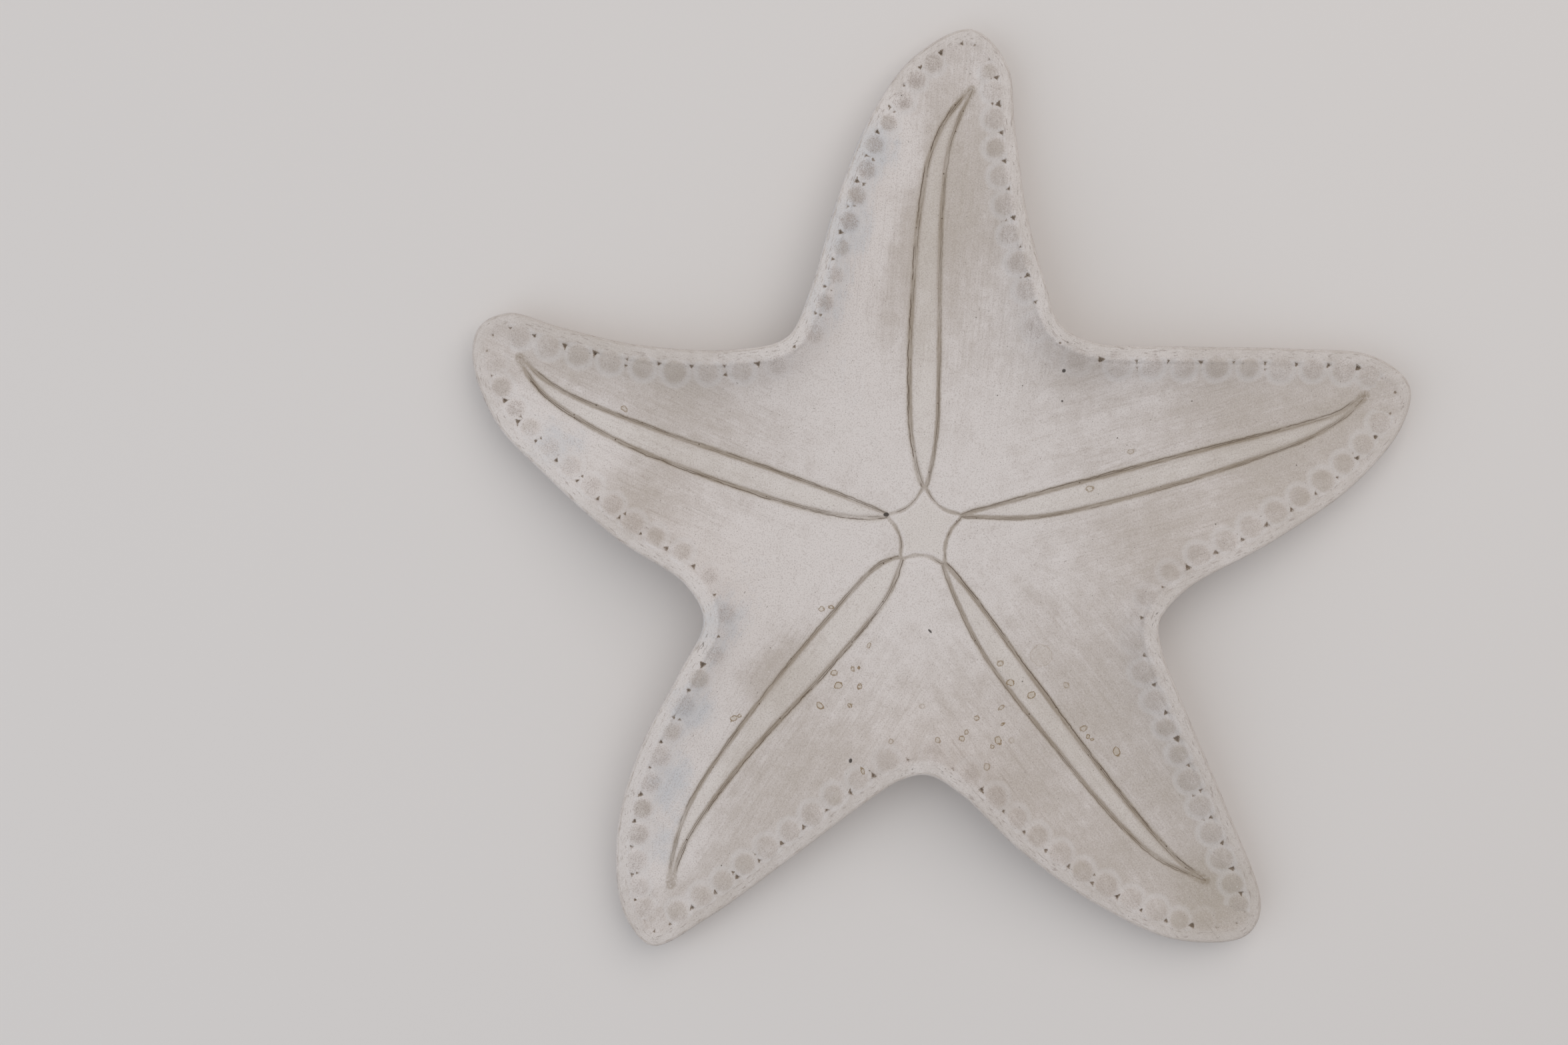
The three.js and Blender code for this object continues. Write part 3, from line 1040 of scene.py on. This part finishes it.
# Grain is about the size of the sand in a coarse wash. Streaks are as wide as a brush's bristles and a
# short stroke long. Mottling, blotches and clouds are where the wash lay thin.
PATTERNS = {
    "grain": Pattern("place", (0.5, 0.5, 0.5), 3.0),
    "fine": Pattern("place", (1.1, 1.1, 1.1), 3.0),
    "lobe": Pattern("place", (2.2, 2.2, 2.2), 2.0),
    "mottle": Pattern("place", (5.0, 5.0, 5.0), 4.0),
    "blotch": Pattern("place", (13.0, 13.0, 13.0), 3.0),
    "cloud": Pattern("place", (30.0, 30.0, 30.0), 3.0),
    "streak": Pattern("arm_place", (16.0, 0.8, 1.0), 3.0),
    "hairline": Pattern("arm_place", (34.0, 0.45, 1.0), 1.0),
    "brush": Pattern("arm_place", (30.0, 4.5, 1.0), 3.0),
    "fleck": Pattern("rim_place", (3.2, 3.2, 0.6), 3.0),
    "chip": Pattern("rim_place", (2.2, 2.2, 1.0), 2.0),
}

SCATTERS = {
    "pore": Scatter("place", (2.1, 2.1, 2.1)),
    "speck": Scatter("place", (9.0, 9.0, 9.0)),
    "dash": Scatter("arm_place", (9.0, 4.0, 4.0)),
    "dot": Scatter("place", (2.4, 2.4, 2.4)),
}

BLENDS = {
    "broken_wash_and_sheen": Blend((("wash", 1.0), ("mottle", 0.7), ("blotch", 0.4), ("brush", 0.6), ("streak", 0.5),
                          ("tip", 0.12)), -1.1),
    "line_away": Blend((("line_mm", 1.0),), unsigned=True),
    "band_edge": Blend((("line_away", 1.0), ("line_dirt", -0.5), ("mottle", 1.1), ("fine", 0.5)), -0.75),
    "outer_stroke": Blend((("line_mm", 1.0), ("mottle", 1.3)), -1.15, True),
    "middle_stroke": Blend((("line_mm", 1.0), ("blotch", 1.0)), -0.55, True),
    "inner_stroke": Blend((("line_mm", 1.0), ("fine", 0.5), ("blotch", 0.9)), -0.2, True),
    "pit_edge": Blend((("pit_mm", 1.0), ("grain", 1.1), ("lobe", 1.4)), -1.15),
    "drop_edge": Blend((("drop_mm", 1.0), ("fine", 0.6), ("lobe", 1.5)), -1.0),
    "drop_rim": Blend((("drop_edge", 1.0),), unsigned=True),
    "bead_edge": Blend((("bead_mm", 1.0), ("fine", 1.2), ("mottle", 1.0)), -1.1),
    "wash_relief": Blend((("streak", 0.5), ("grain", 1.0), ("fine", 0.6))),
}

COATS = (
    # The wash: mauve and tan in clouds and streaks, cleaner and cooler with a painted sheen where it runs thin.
    Coat(Tone.MAUVE_WASH, (Limit("broken_wash_and_sheen", -0.1, 0.8, 0.9),)),
    Coat(Tone.TAN_WASH, (Limit("broken_wash_and_sheen", 0.15, 1.6, 0.9),)),
    # Painted sheen: cool white where the wash is thinnest, part clean paint and part a cool reflection on the
    # arms' left flanks.
    Coat(Tone.COOL_WHITE_AND_SHEEN, (Limit("broken_wash_and_sheen", -0.25, -0.95, 0.95),)),
    Coat(Tone.CREAM, (Limit("line_mm", -0.9, -2.4, 0.35),)),
    Coat(Tone.MAUVE_WASH, (Limit("blotch", 0.45, 0.7, 0.2), Limit("mottle", 0.3, 0.65))),
    Coat(Tone.FLECK, (Limit("grain", 0.46, 0.7, 0.38),)),
    Coat(Tone.CLEAN_WHITE, (Limit("grain", 0.46, 0.28, 0.33),)),
    Coat(Tone.FLECK, (Limit("streak", 0.52, 0.76, 0.22), Limit("reach_mm", 45.0, 80.0),
                      Limit("cloud", 0.35, 0.6))),
    Coat(Tone.SCRATCH, (Limit("hairline", 0.68, 0.76, 0.3), Limit("cloud", 0.45, 0.6),
                        Limit("reach_mm", 25, 60))),
    # The rim: paler, with brown flecks drawn out along it, a darker line near its edge, painted shade on its
    # outer edge and the wall under it, and chips at notches.
    Coat(Tone.RIM, (Limit("edge_mm", 5.6, 2.6, 0.3), Limit("edge_mm", -0.5, 0.3))),
    Coat(Tone.FLECK, (Limit("edge_mm", 5.2, 4.0), Limit("edge_mm", -0.5, 0.3),
                      Limit("fleck", 0.56, 0.7, 0.6))),
    # A darker line along the rim's rounded lip.
    Coat(Tone.LIP_LINE_AND_EDGE_SHADE, (Limit("edge_mm", 0.3, 0.8), Limit("edge_mm", 1.35, 1.0), Limit("fleck", 0.3, 0.6, 0.55))),
    # Painted shade: a darker band where the rim's outer edge turns under, and on the wall below it.
    Coat(Tone.LIP_LINE_AND_EDGE_SHADE, (Limit("edge_mm", 0.1, -0.4, 0.45), Limit("edge_mm", -5.0, -1.5))),
    Coat(Tone.SPECK, (Limit("notch", 0.2, 0.8), Limit("chip", 0.64, 0.69, 0.6), Limit("edge_mm", 4.8, 3.4),
                      Limit("edge_mm", 1.3, 1.9))),
    Coat(Tone.BISQUE, (Limit("edge_mm", -6.0, -16.0, 0.8),)),
    # The beads: white pooled round them, their tops worn back to a speckled grey.
    Coat(Tone.POOLED, (Limit("bead_mm", 1.8, 0.3, 0.28), Limit("bead_mm", -1.6, -0.2),
                       Limit("bead_height", 0.2, 1.0), Limit("edge_mm", 3.6, 4.6))),
    Coat(Tone.WORN, (Limit("bead_edge", -0.5, -3.2, 0.5), Limit("bead_wear", 0.0, 1.0),
                     Limit("mottle", 0.25, 0.6))),
    Coat(Tone.TAN_WASH, (Limit("bead_mm", -0.8, -2.4, 0.4), Limit("bead_tint", 0.3, 1.0),
                         Limit("blotch", 0.3, 0.6), Limit("bead_height", 0.3, 1.0))),
    Coat(Tone.FLECK, (Limit("bead_edge", -0.5, -2.4, 0.4), Limit("grain", 0.42, 0.62),
                      Limit("bead_wear", 0.0, 0.8))),
    # The incised lines: a soft brown band, with two or three fine dark strokes in it and dots along them.
    Coat(Tone.TAN_WASH, (Limit("line_away", 2.8, 0.8, 0.2), Limit("line_dirt", 0.3, 1.0))),
    Coat(Tone.BAND, (Limit("band_edge", 1.05, 0.1, 0.6), Limit("cloud", 0.15, 0.6),
                     Limit("petal_tip_mm", 0.5, 6))),
    Coat(Tone.STROKE, (Limit("middle_stroke", 0.24, 0.04, 0.65), Limit("brush", 0.42, 0.6))),
    Coat(Tone.STROKE, (Limit("outer_stroke", 0.3, 0.06, 0.75), Limit("line_dirt", 0.45, 1.0),
                       Limit("blotch", 0.38, 0.5))),
    Coat(Tone.STROKE, (Limit("inner_stroke", 0.22, 0.04, 0.55), Limit("line_dirt", 0.4, 1),
                       Limit("blotch", 0.56, 0.4))),
    Coat(Tone.STROKE, (Limit("dot_mm", 0.42, 0.14, 0.9), Limit("dot_choice", 0.45, 0.43),
                       Limit("line_away", 0.9, 0.5))),
    Coat(Tone.BAND, (Limit("petal_tip_mm", 8.5, 1.0, 0.5), Limit("line_away", 2.2, 0.9),
                     Limit("fine", 0.25, 0.6))),
    # Pores, specks of grit and short scratches.
    Coat(Tone.SPECK, (Limit("pore_mm", 0.24, 0.08, 0.6), Limit("pore_choice", 0.42, 0.4))),
    Coat(Tone.SPECK, (Limit("speck_mm", 0.38, 0.14, 0.9), Limit("speck_choice", 0.4, 0.38))),
    Coat(Tone.RIM, (Limit("speck_mm", 0.4, 0.2, 0.8), Limit("speck_choice", 0.86, 0.88))),
    Coat(Tone.SCRATCH, (Limit("dash_mm", 0.3, 0.12, 0.5), Limit("dash_choice", 0.3, 0.28))),
    Coat(Tone.PIT_DEPTH, (Limit("grit_mm", 0.3, -0.1, 0.9),)),
    # Droplets dried to a tan disc with a brown ring.
    Coat(Tone.DROPLET_FILL, (Limit("drop_edge", 0.15, -0.3, 0.35), Limit("drop_stain", 0.0, 1.0))),
    Coat(Tone.DROPLET, (Limit("drop_rim", 0.34, 0.08, 0.8), Limit("drop_stain", 0.0, 0.9),
                        Limit("fine", 0.2, 0.5))),
    # Dirt in the pits.
    Coat(Tone.PIT, (Limit("pit_edge", 0.4, -0.05, 0.85),)),
    Coat(Tone.PIT_DEPTH, (Limit("pit_edge", 0.05, -0.35, 0.8), Limit("fine", 0.35, 0.6))),
)


@dataclass
class WhitewashedStoneware:
    """Cast stoneware brushed with a thin white wash: matt, chalky, finely pored, stained in its low places.

    It gives the eye a dry off-white with a tan wash towards the tips, bead tops worn back to a speckled
    grey, white pooled between the beads, and dirt held in the incised lines and the pits.
    """

    roughness: tuple[float, float] = (0.74, 0.92)
    specular: float = 0.3
    bump_strength: float = 0.4
    bump_height: float = 0.00014
    nodes: NodeTree = field(init=False)
    measures: dict[str, bpy.types.NodeSocket] = field(init=False)

    def build(self) -> bpy.types.Material:
        """Makes the material."""
        self.nodes = NodeTree("whitewashed_stoneware")
        add = self.nodes.add
        metres = add("ShaderNodeTexCoord", output="Object")
        self.measures = {
            "place": add(
                "ShaderNodeVectorMath", {"operation": "SCALE"}, {0: metres, "Scale": 1 / METRES_PER_MM}),
            "arm_place": add("ShaderNodeAttribute", {"attribute_name": "arm_place"}, output="Vector"),
            "rim_place": add("ShaderNodeAttribute", {"attribute_name": "rim_place"}, output="Vector"),
        }
        for name in ATTRIBUTES:
            self.measures[name] = add("ShaderNodeAttribute", {"attribute_name": name}, output="Fac")
        self._lay_patterns()
        self._blend()
        roughness = add("ShaderNodeMapRange", inputs={
            "Value": self.measures["mottle"], "From Min": 0.3, "From Max": 0.7,
            "To Min": self.roughness[0], "To Max": self.roughness[1]})
        shader = add("ShaderNodeBsdfPrincipled", inputs={
            "Base Color": self._coat(), "Roughness": roughness, "Metallic": 0.0,
            "Specular IOR Level": self.specular, "Normal": self._bump()})
        add("ShaderNodeOutputMaterial", inputs={"Surface": shader})
        return self.nodes.material

    def _lay_patterns(self) -> None:
        """Adds the cloudy patterns, and the scatters' distances and choices, to the measures."""
        add = self.nodes.add
        laid = {name: add("ShaderNodeVectorMath", {"operation": "MULTIPLY"},
                          {0: self.measures[layout.place], 1: tuple(1 / length for length in layout.cell)})
                for name, layout in {**PATTERNS, **SCATTERS}.items()}
        for name, pattern in PATTERNS.items():
            self.measures[name] = add("ShaderNodeTexNoise", inputs={
                "Vector": laid[name], "Scale": 1.0, "Detail": pattern.detail, "Roughness": 0.6})
        for name, scatter in SCATTERS.items():
            points = add("ShaderNodeTexVoronoi", {"feature": "F1"}, {"Vector": laid[name], "Scale": 1.0})
            self.measures[name + "_mm"] = add(
                "ShaderNodeMath", {"operation": "MULTIPLY"}, {0: points, 1: min(scatter.cell)})
            self.measures[name + "_choice"] = add(
                "ShaderNodeSeparateColor", inputs={"Color": points.node.outputs["Color"]})

    def _blend(self) -> None:
        """Adds the sums of other measures to the measures."""
        add = self.nodes.add
        for name, blend in BLENDS.items():
            total: object = blend.offset
            for part, weight in blend.parts:
                total = add("ShaderNodeMath", {"operation": "MULTIPLY_ADD"},
                            {0: self.measures[part], 1: weight, 2: total})
            if blend.unsigned:
                total = add("ShaderNodeMath", {"operation": "ABSOLUTE"}, {0: total})
            self.measures[name] = total

    def _coat(self) -> bpy.types.NodeSocket:
        """Lays the coats in order over the clean white.

        Returns:
            The colour.
        """
        add = self.nodes.add
        colour: object = linear(Tone.CLEAN_WHITE)
        for coat in COATS:
            cover: object = 1.0
            for limit in coat.limits:
                share = add("ShaderNodeMapRange", {"interpolation_type": "SMOOTHSTEP"}, {
                    "Value": self.measures[limit.measure], "From Min": limit.start, "From Max": limit.end,
                    "To Max": limit.share})
                cover = add("ShaderNodeMath", {"operation": "MULTIPLY"}, {0: share, 1: cover})
            colour = add("ShaderNodeMix", {"data_type": "RGBA"},
                         {0: cover, 6: colour, 7: linear(coat.tone)}, 2)
        return colour

    def _bump(self) -> bpy.types.NodeSocket:
        """The brushed wash's fine relief: grain and streaks up to about a tenth of a millimetre high."""
        return self.nodes.add("ShaderNodeBump", inputs={
            "Strength": self.bump_strength, "Distance": self.bump_height,
            "Height": self.measures["wash_relief"]})


@dataclass(frozen=True)
class SoftLight:
    """A square soft light: where it stands round and above the dish in degrees, its power and its tint."""

    name: str
    azimuth: float
    elevation: float
    power: float
    tint: tuple[float, float, float]


@dataclass(frozen=True)
class Studio:
    """A plain pale table, a soft main light from the upper right, a cool fill, and the camera overhead."""

    table_size: float = 4.0
    camera_place: tuple[float, float, float] = (-0.0577, -0.0128, 0.809)
    lens: float = 50.0
    lights: tuple[SoftLight, ...] = (SoftLight("key_light", 55.0, 58.0, 20.0, (1.0, 0.955, 0.91)),
                                     SoftLight("fill_light", 200.0, 45.0, 12.5, (0.86, 0.93, 1.0)))
    light_distance: float = 2.2
    light_size: float = 2.4
    world_tint: tuple[float, float, float, float] = (0.95, 0.97, 1.0, 1.0)
    world_strength: float = 0.42
    table_gap: float = 0.0002

    def build(self) -> None:
        """Makes the table, lights, world and camera."""
        self._table()
        for light in self.lights:
            self._light(light)
        world = bpy.data.worlds.new("studio")
        world.use_nodes = True
        background = world.node_tree.nodes["Background"]
        background.inputs["Color"].default_value = self.world_tint
        background.inputs["Strength"].default_value = self.world_strength
        bpy.context.scene.world = world
        bpy.context.scene.view_settings.view_transform = "Standard"
        camera = bpy.data.objects.new("camera", bpy.data.cameras.new("camera"))
        camera.data.lens = self.lens
        camera.location = self.camera_place
        bpy.context.scene.collection.objects.link(camera)
        bpy.context.scene.camera = camera

    def _light(self, light: SoftLight) -> None:
        """Stands a light on its side of the dish, looking at it."""
        lamp = bpy.data.lights.new(light.name, "AREA")
        lamp.size = self.light_size
        lamp.energy = light.power
        lamp.color = light.tint
        turn, rise = math.radians(light.azimuth), math.radians(light.elevation)
        back = Vector((math.cos(turn) * math.cos(rise), math.sin(turn) * math.cos(rise), math.sin(rise)))
        stand = bpy.data.objects.new(light.name, lamp)
        stand.location = back * self.light_distance
        stand.rotation_euler = (-back).to_track_quat("-Z", "Y").to_euler()
        bpy.context.scene.collection.objects.link(stand)

    def _table(self) -> None:
        """The pale matt surface under the dish."""
        bm = bmesh.new()
        bmesh.ops.create_grid(bm, x_segments=1, y_segments=1, size=self.table_size / 2)
        bmesh.ops.translate(bm, verts=bm.verts, vec=(0, 0, -self.table_gap))
        mesh = bpy.data.meshes.new("table")
        bm.to_mesh(mesh)
        bm.free()
        nodes = NodeTree("pale_painted_board")
        shader = nodes.add("ShaderNodeBsdfPrincipled", inputs={
            "Base Color": linear(Tone.TABLE), "Roughness": 0.6})
        nodes.add("ShaderNodeOutputMaterial", inputs={"Surface": shader})
        mesh.materials.append(nodes.material)
        table = bpy.data.objects.new("table", mesh)
        bpy.context.scene.collection.objects.link(table)


def main() -> None:
    """Builds the dish, its finish and the studio, in that order."""
    logging.basicConfig(level=logging.INFO, format="%(name)s: %(message)s")
    outline = Outline(DishForm())
    LOG.info("outline is %.0f mm round", outline.length)
    dish = Casting(outline, Bowl(outline), Relief(outline)).build()
    dish.data.materials.append(WhitewashedStoneware().build())
    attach(dish, "root")
    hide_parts(NODE)
    LOG.info("%s has %d faces", dish.name, len(dish.data.polygons))
    Studio().build()


if __name__ == "__main__":
    main()
